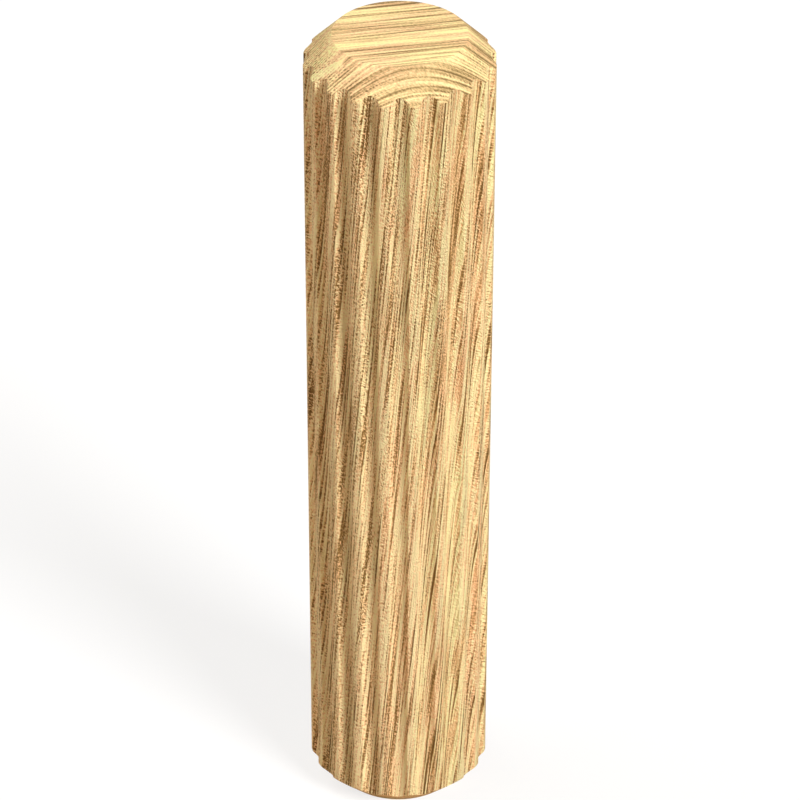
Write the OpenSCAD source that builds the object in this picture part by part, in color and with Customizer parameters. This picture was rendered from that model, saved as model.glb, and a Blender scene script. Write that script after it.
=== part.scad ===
// Fluted dowel pin: a straight wooden pin with round-bottomed flutes along its
// whole length and a chamfer at each end. It is one piece of wood.
// Frame: it stands on one end, +Z runs up its axis, and the origin is the
// centre of the lower end. One flute faces -Y. Sizes are in millimetres.

/* [Pin] */
// Diameter over the lands between the flutes, which is the hole the pin is sold for
pin_d = 8; // [7:0.5:20]
// Length from end face to end face
pin_len = 38; // [12:1:120]

/* [End chamfers] */
// How far each chamfer runs along the pin
chamfer_len = 1.2; // [0.5:0.1:4]
// How far each chamfer cuts in from the lands towards the axis
chamfer_in = 1.2; // [0.5:0.1:2.5]
// Radius of the softened rim between an end face and its chamfer
rim_round = 0.3; // [0:0.05:0.6]

/* [Flutes] */
// Number of flutes around the pin
flute_count = 20; // [6:1:24]
// Radius of the round tool that cuts each flute
flute_r = 0.45; // [0.3:0.05:0.55]
// Depth of each flute below the lands
flute_depth = 0.3; // [0.1:0.05:0.45]
// Radius of the eased edge where a flute meets a land
land_edge_r = 0.08; // [0.02:0.01:0.12]

/* [Colour] */
// Colour of the bare wood
wood_colour = [0.91, 0.77, 0.55];

/* [Hidden] */
pin_r = pin_d / 2;
end_face_r = pin_r - chamfer_in;             // flat left on each end
flute_pitch = 360 / flute_count;
flute_axis_r = pin_r - flute_depth + flute_r; // from the pin's axis to the tool's
cut_over = 1;                                // how far cutters run past the wood
round_steps = 3;                             // flats that stand for an eased edge
$fn = 96;

function polar(r, a) = [r * cos(a), r * sin(a)];

// Points along an arc about c from angle a0 to a1
function arc(c, r, a0, a1, steps) =
    [for (i = [0:steps]) c + polar(r, a0 + (a1 - a0) * i / steps)];

// The rim's rounding touches the end face and the chamfer at this distance
// from their shared corner, and never takes more than a third of either
chamfer_slope = atan2(chamfer_len, chamfer_in);
chamfer_run = norm([chamfer_in, chamfer_len]);
rim_reach = min(rim_round * tan(chamfer_slope / 2),
                chamfer_run / 3, end_face_r / 3);
rim_r = rim_reach / tan(chamfer_slope / 2);

// Half outline of the lower end in (radius, height), from the axis outwards
end_outline = concat(
    [[0, 0]],
    rim_r > 0
        ? arc([end_face_r - rim_reach, rim_r], rim_r,
              -90, -90 + chamfer_slope, round_steps)
        : [[end_face_r, 0]],
    [[pin_r, chamfer_len]]);

// The same end turned over for the top
function top_of(points) =
    [for (i = [len(points) - 1:-1:0]) [points[i][0], pin_len - points[i][1]]];

// Round blank with both ends chamfered, before fluting
module blank() {
    rotate_extrude()
        polygon(concat(end_outline, top_of(end_outline)));
}

// A run of points with its first and last stretch drawn out to twice their
// length, so that a cutter's flats cross the surfaces that they meet
function drawn_out(points) = let (last = len(points) - 1) concat(
    [2 * points[0] - points[1]],
    [for (i = [1:last - 1]) points[i]],
    [2 * points[last] - points[last - 1]]);

// The eased edge on one side of a flute. Its rounding is tangent to the land
// outside it and to the flute's wall inside it, which sets its centre.
module land_edge_section() {
    tool = [flute_axis_r, 0];
    centre_r = pin_r - land_edge_r;
    centre_a = acos((centre_r ^ 2 + flute_axis_r ^ 2
                     - (flute_r + land_edge_r) ^ 2)
                    / (2 * centre_r * flute_axis_r));
    centre = polar(centre_r, centre_a);
    to_tool = tool - centre;
    wall_a = atan2(to_tool[1], to_tool[0]);
    polygon(concat(
        drawn_out(arc(centre, land_edge_r, centre_a, wall_a, round_steps)),
        [tool, polar(pin_r + cut_over, centre_a)]));
}

// Section of one flute's cutter: the round tool and the two eased edges
module flute_section() {
    translate([flute_axis_r, 0]) circle(r = flute_r);
    land_edge_section();
    mirror([0, 1]) land_edge_section();
}

// One flute, cut right through from end to end so that it runs out in a
// scallop on each chamfer
module flute() {
    translate([0, 0, -cut_over])
        linear_extrude(height = pin_len + 2 * cut_over)
            flute_section();
}

module dowel_pin() {
    color(wood_colour)
        difference() {
            blank();
            for (i = [0:flute_count - 1])
                rotate([0, 0, i * flute_pitch - 90]) flute();
        }
}

dowel_pin();
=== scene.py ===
"""A fluted dowel pin: the pin itself, its wood, and the plain studio it stands in.

The pin is modelled from a ring that is fluted, raised, chamfered and mirrored.
Its wood is made of shared node groups for the growth bands of the tree, the
long fibres, the pores and the tone of the wood. Every length is in metres on
the object, and in millimetres inside the wood's node groups. The pin stands on
one end, seen from -Y, so that -X is its left.
"""

import logging
import math
from dataclasses import dataclass, field
from enum import Enum
from typing import Iterable, Optional, Sequence, Union

import bmesh
import bpy
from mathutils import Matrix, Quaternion, Vector

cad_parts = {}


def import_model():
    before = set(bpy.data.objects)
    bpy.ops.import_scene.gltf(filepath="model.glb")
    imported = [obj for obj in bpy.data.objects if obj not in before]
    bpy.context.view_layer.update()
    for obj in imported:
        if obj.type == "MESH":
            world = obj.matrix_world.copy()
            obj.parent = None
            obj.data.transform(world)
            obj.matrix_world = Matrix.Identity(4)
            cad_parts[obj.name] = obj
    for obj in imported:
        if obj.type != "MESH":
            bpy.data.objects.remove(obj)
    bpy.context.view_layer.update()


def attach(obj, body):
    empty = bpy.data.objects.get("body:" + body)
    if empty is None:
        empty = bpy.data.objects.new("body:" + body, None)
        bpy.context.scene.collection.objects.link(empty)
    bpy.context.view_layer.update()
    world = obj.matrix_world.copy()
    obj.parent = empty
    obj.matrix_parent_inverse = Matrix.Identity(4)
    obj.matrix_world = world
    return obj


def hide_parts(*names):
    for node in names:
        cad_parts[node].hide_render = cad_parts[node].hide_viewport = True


LOG = logging.getLogger("dowel_pin")
MM = 0.001
TAU = 2.0 * math.pi
X, Y, Z = range(3)
MIDDLE_RING, SHOULDER_RING, RIM_RING = range(3)  # up the pin, from mid length
NOISE_MIDDLE = 0.5  # what Blender's noise lies about
STRIP_GAP = 7.31  # how far apart in the noise two neighbouring strips are read
ROTATE_WAY = -1.0  # transform.rotate's sign with no window open
LEAST_TURN = 1e-9  # a turn in radians that is too small to make

Node = bpy.types.Node
Socket = bpy.types.NodeSocket
Tree = bpy.types.NodeTree
Triple = tuple[float, float, float]
Value = Union[Socket, float, tuple[float, ...]]


# --------------------------------------------------------------------------
# Node work
# --------------------------------------------------------------------------


class Kind(Enum):
    """Kinds of socket that the wood's node groups take and give."""

    NUMBER = "NodeSocketFloat"
    COLOUR = "NodeSocketColor"
    PLACE = "NodeSocketVector"


@dataclass(frozen=True)
class Noise:
    """Fractal noise whose lumps are stretched along the axes.

    Attributes:
        scale: how many lumps there are to a millimetre along each axis.
        detail: octaves beyond the first.
        rough: how strong the finer octaves are.
        offset: moves the pattern, so that two layers don't match.
    """

    scale: Triple
    detail: float = 2.0
    rough: float = 0.5
    offset: Triple = (0.0, 0.0, 0.0)


@dataclass(frozen=True)
class Span:
    """A span of values and the span of results that it is mapped to.

    Attributes:
        low: the value that gives out_low, as every lower value does.
        high: the value that gives out_high, as every higher value does.
        out_low: result at low.
        out_high: result at high.
        smooth: whether the result eases in and out.
    """

    low: float
    high: float
    out_low: float = 0.0
    out_high: float = 1.0
    smooth: bool = False


@dataclass(frozen=True)
class Strips:
    """Long strips that lie side by side, each with its own tone.

    Attributes:
        count: how many strips there are to a turn.
        change: how fast a strip's tone changes along it, per millimetre.
        seed: a number that makes these strips unlike the others.
        detail: octaves beyond the first in their tones.
        rough: how strong the finer octaves are.
    """

    count: int
    change: float
    seed: float
    detail: float = 1.0
    rough: float = 0.4


@dataclass
class NodeDesk:
    """Lays nodes in one tree and links them.

    Attributes:
        tree: the node tree that is worked on.
        laid: how many nodes have been laid, which spaces them out.
        row: how many nodes a row holds.
        apart: distance from node to node along a row, and from row to row.
    """

    tree: Tree
    laid: int = 0
    row: int = 24
    apart: tuple[float, float] = (180.0, 220.0)

    def lay(self, node_type: str, **values: Value) -> Node:
        """Adds one node.

        Args:
            node_type: Blender's name for the node's type.
            values: what its inputs are fed, by name, with _ for each space.

        Returns:
            The new node.
        """
        node = self.tree.nodes.new(node_type)
        down, along = divmod(self.laid, self.row)
        node.location = (self.apart[0] * along, -self.apart[1] * down)
        self.laid += 1
        self.fill(node, **values)
        return node

    def fill(self, node: Node, **values: Value) -> None:
        """Feeds a node's inputs by name, with _ for each space."""
        for name, value in values.items():
            self.feed(node.inputs[name.replace("_", " ")], value)

    def feed(self, socket: Socket, value: Value) -> None:
        """Links a socket to another node's output, or sets it to a constant.

        Args:
            socket: the input to feed.
            value: an output socket, a number, or a tuple of numbers.
        """
        if isinstance(value, Socket):
            self.tree.links.new(value, socket)
        else:
            socket.default_value = value

    def math(self, operation: str, *values: Value) -> Socket:
        """Lays a Math node.

        Args:
            operation: Blender's name for what it works out.
            values: its inputs in order.

        Returns:
            Its output.
        """
        node = self.lay("ShaderNodeMath")
        node.operation = operation
        for socket, value in zip(node.inputs, values):
            self.feed(socket, value)
        return node.outputs[0]

    def sum(self, *terms: Value) -> Socket:
        """Adds any number of values, two at a time.

        Args:
            terms: the values.

        Returns:
            Their sum.
        """
        total = terms[0]
        for term in terms[1:]:
            total = self.math("ADD", total, term)
        return total

    def times(self, value: Value, factor: Value) -> Socket:
        """Multiplies two values."""
        return self.math("MULTIPLY", value, factor)

    def size(self, value: Value) -> Socket:
        """Takes a value without its sign."""
        return self.math("ABSOLUTE", value)

    def left_by(self, share: Value) -> Socket:
        """Gives what a share leaves of 1."""
        return self.math("SUBTRACT", 1.0, share)

    def middled(self, noise: Value) -> Socket:
        """Moves noise from about its middle to about nought."""
        return self.math("SUBTRACT", noise, NOISE_MIDDLE)

    def vector(self, operation: str, *values: Value) -> Socket:
        """Lays a Vector Math node.

        Args:
            operation: Blender's name for what it works out.
            values: its inputs in order.

        Returns:
            Its vector output, or its number output for a dot product or length.
        """
        node = self.lay("ShaderNodeVectorMath")
        node.operation = operation
        slots = [s for s in node.inputs if s.enabled]
        for socket, value in zip(slots, values):
            self.feed(socket, value)
        wanted = "Value" if operation in ("DOT_PRODUCT", "LENGTH") else "Vector"
        return node.outputs[wanted]

    def scaled(self, place: Socket, scale: Triple) -> Socket:
        """Scales a place by its own factor along each axis."""
        return self.vector("MULTIPLY", place, scale)

    def flattened(self, place: Socket) -> Socket:
        """Moves a place straight down to a height of nought."""
        return self.scaled(place, (1.0, 1.0, 0.0))

    def place(self, x: Value, y: Value, z: Value) -> Socket:
        """Joins three numbers to a place."""
        return self.lay("ShaderNodeCombineXYZ", X=x, Y=y, Z=z).outputs["Vector"]

    def part(self, place: Socket, axis: int) -> Socket:
        """Takes one coordinate of a place."""
        return self.lay("ShaderNodeSeparateXYZ", Vector=place).outputs[axis]

    def turned(self, place: Socket, angle: Value) -> Socket:
        """Turns a place about the Z axis.

        Args:
            place: the place.
            angle: how far it is turned, in radians.

        Returns:
            Where it comes to lie.
        """
        node = self.lay("ShaderNodeVectorRotate", Vector=place, Angle=angle)
        node.rotation_type = "Z_AXIS"
        return node.outputs["Vector"]

    def noise(self, place: Socket, kind: Noise) -> Socket:
        """Lays fractal noise.

        Args:
            place: where it is read, in millimetres.
            kind: what the noise is like.

        Returns:
            Noise from about 0.25 to 0.75, round its middle.
        """
        moved = self.vector("ADD", self.scaled(place, kind.scale), kind.offset)
        node = self.lay(
            "ShaderNodeTexNoise",
            Vector=moved,
            Scale=1.0,
            Detail=kind.detail,
            Roughness=kind.rough,
        )
        return node.outputs["Fac"]

    def swing(self, place: Socket, kind: Noise) -> Socket:
        """Lays fractal noise that lies about nought."""
        return self.middled(self.noise(place, kind))

    def spread(self, value: Value, span: Span) -> Socket:
        """Maps a value from one span to another and clamps it.

        Args:
            value: what is mapped.
            span: both spans.

        Returns:
            The mapped value.
        """
        node = self.lay(
            "ShaderNodeMapRange",
            Value=value,
            From_Min=span.low,
            From_Max=span.high,
            To_Min=span.out_low,
            To_Max=span.out_high,
        )
        node.clamp = True
        node.interpolation_type = "SMOOTHSTEP" if span.smooth else "LINEAR"
        return node.outputs["Result"]

    def ramp(self, value: Value, stops: Sequence[tuple[float, Triple]]) -> Socket:
        """Lays a colour ramp.

        Args:
            value: what picks the colour, from 0 to 1.
            stops: places from 0 to 1, each with its colour in linear light.

        Returns:
            The colour.
        """
        node = self.lay("ShaderNodeValToRGB", Fac=value)
        elements = node.color_ramp.elements
        while len(elements) > 1:
            elements.remove(elements[-1])
        elements[0].position = stops[0][0]
        elements[0].color = (*stops[0][1], 1.0)
        for at, colour in stops[1:]:
            elements.new(at).color = (*colour, 1.0)
        return node.outputs["Color"]

    def profile(self, value: Value, stops: Sequence[tuple[float, float]]) -> Socket:
        """Lays a ramp that gives a number.

        Args:
            value: what picks the number, from 0 to 1.
            stops: places from 0 to 1, each with its number from 0 to 1.

        Returns:
            The number.
        """
        grey = self.ramp(value, [(at, (level,) * 3) for at, level in stops])
        return self.lay("ShaderNodeSeparateColor", Color=grey).outputs["Red"]

    def strips(self, turns: Socket, up: Socket, kind: Strips) -> tuple[Socket, ...]:
        """Splits the way round into long strips.

        Args:
            turns: the way round, in whole turns.
            up: the way along the strips, in millimetres.
            kind: what the strips are like.

        Returns:
            How far across its strip a place is, from 0 to 1, then three numbers
            about nought that hold for the width of a strip.
        """
        scaled = self.times(turns, float(kind.count))
        key = self.place(
            self.math("MULTIPLY_ADD", self.math("FLOOR", scaled), STRIP_GAP, kind.seed),
            self.times(up, kind.change),
            0.0,
        )
        node = self.lay(
            "ShaderNodeTexNoise",
            Vector=key,
            Scale=1.0,
            Detail=kind.detail,
            Roughness=kind.rough,
        )
        node.noise_dimensions = "2D"
        split = self.lay("ShaderNodeSeparateColor", Color=node.outputs["Color"])
        tones = (self.middled(channel) for channel in split.outputs)
        return (self.math("FRACT", scaled), *tones)

    def blend(
        self, share: Value, first: Value, second: Value, how: str = "MIX"
    ) -> Socket:
        """Mixes two colours.

        Args:
            share: how much of the second is mixed in.
            first: the colour at a share of 0.
            second: the colour at a share of 1.
            how: Blender's name for the way they are mixed.

        Returns:
            The mixed colour.
        """
        node = self.lay("ShaderNodeMix", Factor=share)
        node.data_type = "RGBA"
        node.blend_type = how
        node.clamp_factor = True
        slots = [s for s in node.inputs if s.type == "RGBA"]
        for socket, value in zip(slots, (first, second)):
            self.feed(socket, value)
        return next(s for s in node.outputs if s.type == "RGBA")

    def group(self, tree: Tree, **values: Value) -> Node:
        """Places a node group.

        Args:
            tree: the group.
            values: what its inputs are fed, by name, with _ for each space.

        Returns:
            The group node.
        """
        node = self.lay("ShaderNodeGroup")
        node.label = tree.name
        node.node_tree = tree
        self.fill(node, **values)
        return node


@dataclass
class EffectGroup:
    """One shared effect as a shader node group with named inputs and outputs.

    Attributes:
        name: the group's name.
        takes: inputs by name, with the kind of each.
        gives: outputs by name, with the kind of each.
        desk: lays the group's inner nodes.
        given: the inner node that hands out the inputs.
        put: the inner node that takes in the outputs.
    """

    name: str
    takes: dict[str, Kind]
    gives: dict[str, Kind]
    desk: NodeDesk = field(init=False)
    given: Node = field(init=False)
    put: Node = field(init=False)

    def __post_init__(self) -> None:
        """Makes the empty group with its sockets."""
        tree = bpy.data.node_groups.new(self.name, "ShaderNodeTree")
        for way, sockets in (("INPUT", self.takes), ("OUTPUT", self.gives)):
            for name, kind in sockets.items():
                tree.interface.new_socket(name, in_out=way, socket_type=kind.value)
        self.desk = NodeDesk(tree)
        self.given = self.desk.lay("NodeGroupInput")
        self.put = self.desk.lay("NodeGroupOutput")

    def take(self, name: str) -> Socket:
        """Gives an input of the group, as its inner nodes read it."""
        return self.given.outputs[name]

    def give(self, **values: Value) -> Tree:
        """Feeds the group's outputs, by name with _ for each space, and ends it."""
        self.desk.fill(self.put, **values)
        return self.desk.tree


# --------------------------------------------------------------------------
# The wood's shared effects
# --------------------------------------------------------------------------


@dataclass(frozen=True)
class WoodTones:
    """Colours of one cut of the wood, from its darkest line to its palest.

    Attributes:
        name: the group's name.
        stops: tone from 0 to 1, with the colour in linear light.
        blush: what the warm patches multiply the colour by; on the side it also
        carries the painted shade that warms the shaded left.
        blush_shown: how much of the blush shows from dark tones to pale ones.
    """

    name: str
    stops: tuple[tuple[float, Triple], ...]
    blush: Triple = (1.02, 0.92, 0.99)
    blush_shown: Span = Span(0.1, 0.5, 0.2, 1.0)

    def build(self) -> Tree:
        """Builds the group that turns a tone and a warmth into a colour.

        Returns:
            The node group.
        """
        made = EffectGroup(
            self.name,
            {"Tone": Kind.NUMBER, "Warmth": Kind.NUMBER},
            {"Colour": Kind.COLOUR},
        )
        desk, tone = made.desk, made.take("Tone")
        plain = desk.ramp(tone, self.stops)
        warm = desk.blend(1.0, plain, (*self.blush, 1.0), "MULTIPLY")
        warmth = desk.times(made.take("Warmth"), desk.spread(tone, self.blush_shown))
        return made.give(Colour=desk.blend(warmth, plain, warm))


SIDE_TONES = WoodTones(
    "side tones",
    (
        (0.00, (0.226, 0.126, 0.034)),
        (0.15, (0.382, 0.230, 0.078)),
        (0.30, (0.553, 0.350, 0.142)),
        (0.45, (0.742, 0.468, 0.218)),
        (0.60, (0.888, 0.570, 0.284)),
        (0.75, (0.936, 0.672, 0.346)),
        (0.88, (0.950, 0.768, 0.398)),
        (1.00, (0.957, 0.880, 0.456)),
    ),
    (1.02, 0.91, 0.96),
)
END_TONES = WoodTones(
    "end tones",
    (
        (0.00, (0.255, 0.165, 0.062)),
        (0.20, (0.410, 0.285, 0.113)),
        (0.40, (0.610, 0.430, 0.194)),
        (0.58, (0.800, 0.550, 0.264)),
        (0.72, (0.905, 0.650, 0.322)),
        (0.86, (0.945, 0.775, 0.374)),
        (1.00, (0.930, 0.905, 0.415)),
    ),
)


@dataclass(frozen=True)
class LateLine:
    """One dark line of latewood.

    Attributes:
        at: its place across the bands, in millimetres.
        half: half its width, in millimetres.
        dark: how much tone it takes away at its middle.
    """

    at: float
    half: float
    dark: float


@dataclass(frozen=True)
class GrowthBands:
    """The tree's yearly growth, cut across at the ends of the pin.

    The rings are so much wider than the pin that they cross it as straight
    bands.

    Attributes:
        turn_deg: how far the bands are turned from the X axis, about Z.
        reach: half the span of the bands, in millimetres.
        front_tone: tone in front of the first change.
        changes: places across the bands where the tone changes, in
            millimetres, each with the tone behind it.
        soft: width that each change is spread over, in millimetres.
        lines: the dark lines of latewood, none of which touches the next.
        wander: the bands' wide bends.
        wander_mm: how far the wide bends reach.
        shiver: the bands' short bends.
        shiver_mm: how far the short bends reach.
        fine: fine lines inside the bands.
        finest: still finer ones.
        warm: where the wood is warmer.
        warm_spread: how the warmth is drawn out from the noise.
    """

    turn_deg: float = 12.0
    reach: float = 4.0
    front_tone: float = 0.76
    changes: tuple[tuple[float, float], ...] = (
        (-3.50, 0.56),
        (-3.20, 0.72),
        (-2.50, 0.98),
        (-2.15, 0.84),
        (-0.95, 0.95),
        (-0.25, 0.64),
        (1.30, 0.84),
        (2.10, 0.98),
        (2.35, 0.66),
        (3.40, 0.80),
    )
    soft: float = 0.14
    lines: tuple[LateLine, ...] = (
        LateLine(-2.90, 0.12, 0.50),
        LateLine(-2.65, 0.08, 0.35),
        LateLine(-1.50, 0.15, 0.55),
        LateLine(-1.05, 0.15, 0.60),
        LateLine(0.20, 0.07, 0.25),
        LateLine(0.45, 0.09, 0.40),
        LateLine(0.85, 0.09, 0.30),
        LateLine(1.80, 0.15, 0.70),
        LateLine(2.45, 0.10, 0.55),
        LateLine(2.70, 0.08, 0.50),
    )
    wander: Noise = Noise((0.25, 0.6, 0.02))
    wander_mm: float = 0.18
    shiver: Noise = Noise((0.9, 3.0, 0.05), offset=(7.0, 3.0, 1.0))
    shiver_mm: float = 0.06
    fine: Noise = Noise((0.12, 6.0, 0.03), 1.5, offset=(1.0, 5.0, 9.0))
    finest: Noise = Noise((0.35, 16.0, 0.03), 1.5, 0.7, (3.0, 1.0, 4.0))
    warm: Noise = Noise((0.3, 1.3, 0.03), 1.0, offset=(4.0, 8.0, 2.0))
    warm_spread: Span = Span(0.40, 0.62, smooth=True)

    def build(self) -> Tree:
        """Builds the group that gives the bands' tone at a place.

        Its Band Place is the place along the bands, across them and up.

        Returns:
            The node group.
        """
        made = EffectGroup(
            "growth bands",
            {"Place": Kind.PLACE, "Line Strength": Kind.NUMBER},
            {"Tone": Kind.NUMBER, "Warmth": Kind.NUMBER, "Band Place": Kind.PLACE},
        )
        desk, place = made.desk, made.take("Place")
        turn = math.radians(self.turn_deg)
        along = desk.vector("DOT_PRODUCT", place, (math.cos(turn), math.sin(turn), 0.0))
        across = desk.vector("DOT_PRODUCT", place, (-math.sin(turn), math.cos(turn), 0.0))
        laid = desk.place(along, across, desk.part(place, Z))
        bend = desk.sum(
            desk.times(desk.swing(laid, self.wander), self.wander_mm),
            desk.times(desk.swing(laid, self.shiver), self.shiver_mm),
        )
        at = desk.spread(desk.sum(across, bend), Span(-self.reach, self.reach))
        zone = desk.profile(at, self._change_stops())
        line = desk.profile(at, self._line_stops())
        fine = desk.sum(desk.swing(laid, self.fine), desk.swing(laid, self.finest))
        tone = desk.sum(
            desk.math("SUBTRACT", zone, line),
            desk.times(fine, made.take("Line Strength")),
        )
        warmth = desk.spread(desk.noise(laid, self.warm), self.warm_spread)
        return made.give(Tone=tone, Warmth=warmth, Band_Place=laid)

    def _share(self, where: float) -> float:
        """Turns a place across the bands into a share of their span."""
        return (where + self.reach) / (2.0 * self.reach)

    def _change_stops(self) -> list[tuple[float, float]]:
        """Works out the profile of the bands' own tones.

        Returns:
            Shares of the span, each with the tone there.
        """
        stops = []
        tone = self.front_tone
        for at, beyond in self.changes:
            stops.append((self._share(at - self.soft / 2.0), tone))
            stops.append((self._share(at + self.soft / 2.0), beyond))
            tone = beyond
        return stops

    def _line_stops(self) -> list[tuple[float, float]]:
        """Works out the profile of the dark lines.

        Returns:
            Shares of the span, each with how dark it is there.
        """
        stops = []
        for line in self.lines:
            stops.append((self._share(line.at - line.half), 0.0))
            stops.append((self._share(line.at), line.dark))
            stops.append((self._share(line.at + line.half), 0.0))
        return stops


@dataclass(frozen=True)
class FibreLay:
    """How the fibres lie on the pin's side, which they climb round a little.

    Attributes:
        radius: radius that the side is taken at, in millimetres.
        lean_deg: how far the fibres lean to the right as they rise.
        sway: the fibres' wide bends.
        sway_mm: how far the bends reach sideways.
        crowd: where the fibres crowd together and part again.
        crowd_mm: how far they do so.
    """

    radius: float = 4.0
    lean_deg: float = 5.2
    sway: Noise = Noise((0.30, 0.30, 0.045))
    sway_mm: float = 0.30
    crowd: Noise = Noise((1.4, 1.4, 0.012), 1.0, offset=(4.0, 9.0, 2.0))
    crowd_mm: float = 0.45

    def build(self) -> Tree:
        """Builds the group that gives a place on the side along the fibres.

        Its Fibre Place is unwound by the fibres' climb, Across is the way round
        in millimetres and Turns in whole turns.

        Returns:
            The node group.
        """
        made = EffectGroup(
            "fibre lay",
            {"Place": Kind.PLACE},
            {
                "Fibre Place": Kind.PLACE,
                "Across": Kind.NUMBER,
                "Turns": Kind.NUMBER,
                "Up": Kind.NUMBER,
            },
        )
        desk, place = made.desk, made.take("Place")
        up = desk.part(place, Z)
        outwards = desk.vector("NORMALIZE", desk.flattened(place))
        on_side = desk.scaled(outwards, (self.radius,) * 3)
        climb = desk.times(up, -math.tan(math.radians(self.lean_deg)) / self.radius)
        unwound = desk.turned(on_side, climb)
        fibre = desk.vector("ADD", unwound, desk.place(0.0, 0.0, up))
        turn = desk.math(
            "ARCTAN2", desk.part(unwound, X), desk.times(desk.part(unwound, Y), -1.0)
        )
        across = desk.sum(
            desk.times(turn, self.radius),
            desk.times(desk.swing(fibre, self.sway), self.sway_mm),
            desk.times(desk.swing(fibre, self.crowd), self.crowd_mm),
        )
        turns = desk.times(across, 1.0 / (TAU * self.radius))
        return made.give(Fibre_Place=fibre, Across=across, Turns=turns, Up=up)


@dataclass(frozen=True)
class LongFibres:
    """The long grain on the pin's side: strips that lie side by side.

    Attributes:
        wide: the widest strips.
        slim: slimmer strips over them.
        hair: the slimmest strips.
        broad: broad waves of tone that pay no heed to the strips.
        fine: threads finer than any strip.
        fine_spread: how the fine threads' tone is drawn out from the noise.
        wide_tone: weight of the wide strips' tone, where the slim ones' is 1.
        wide_wedge: how much a wide strip's tone may slope from edge to edge.
        slim_wedge: the same for a slim strip.
        hair_tone: weight of the hair's tone, where the fine threads' is 1.
        wide_warmth: weight of the wide strips' warmth.
        slim_warmth: weight of the slim strips' warmth.
        warm_middle: warmth of a plain strip.
        warm_spread: how the warmth is drawn out.
        wedge_relief: weight of the slopes in the relief.
        hair_relief: weight of the hair in the relief.
    """

    wide: Strips = Strips(50, 0.05, 3.0)
    slim: Strips = Strips(118, 0.09, 8.0)
    hair: Strips = Strips(262, 0.16, 5.0)
    broad: Noise = Noise((0.9, 0.9, 0.065), 1.5, offset=(3.0, 1.0, 7.0))
    fine: Noise = Noise((10.0, 10.0, 0.22), 1.5, 0.8, (2.0, 6.0, 5.0))
    fine_spread: Span = Span(0.36, 0.64, -0.25, 0.25)
    wide_tone: float = 0.75
    wide_wedge: float = 0.8
    slim_wedge: float = 1.5
    hair_tone: float = 0.7
    wide_warmth: float = 1.6
    slim_warmth: float = 1.2
    warm_middle: float = 0.5
    warm_spread: Span = Span(0.1, 0.9)
    wedge_relief: float = 0.5
    hair_relief: float = 0.5

    def build(self) -> Tree:
        """Builds the group that gives the streaks' tone at a place.

        Returns:
            The node group.
        """
        made = EffectGroup(
            "long fibres",
            {
                "Fibre Place": Kind.PLACE,
                "Turns": Kind.NUMBER,
                "Up": Kind.NUMBER,
                "Broad": Kind.NUMBER,
                "Strips": Kind.NUMBER,
                "Fine": Kind.NUMBER,
            },
            {
                "Tone": Kind.NUMBER,
                "Threads": Kind.NUMBER,
                "Warmth": Kind.NUMBER,
                "Relief": Kind.NUMBER,
            },
        )
        desk, fibre = made.desk, made.take("Fibre Place")
        turns, up = made.take("Turns"), made.take("Up")
        broad = desk.swing(fibre, self.broad)
        wide_in, wide, wide_hue, wide_slope = desk.strips(turns, up, self.wide)
        slim_in, slim, slim_hue, slim_slope = desk.strips(turns, up, self.slim)
        hair = desk.strips(turns, up, self.hair)[1]
        fine = desk.spread(desk.noise(fibre, self.fine), self.fine_spread)
        wedge = desk.sum(
            desk.times(desk.times(desk.middled(wide_in), wide_slope), self.wide_wedge),
            desk.times(desk.times(desk.middled(slim_in), slim_slope), self.slim_wedge),
        )
        strips = desk.sum(desk.times(wide, self.wide_tone), slim, wedge)
        threads = desk.sum(fine, desk.times(hair, self.hair_tone))
        warmth = desk.sum(
            self.warm_middle,
            desk.times(wide_hue, self.wide_warmth),
            desk.times(slim_hue, self.slim_warmth),
        )
        return made.give(
            Tone=desk.sum(
                desk.times(broad, made.take("Broad")),
                desk.times(strips, made.take("Strips")),
            ),
            Threads=desk.times(threads, made.take("Fine")),
            Warmth=desk.spread(warmth, self.warm_spread),
            Relief=desk.sum(
                fine,
                desk.times(wedge, self.wedge_relief),
                desk.times(hair, self.hair_relief),
            ),
        )


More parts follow.
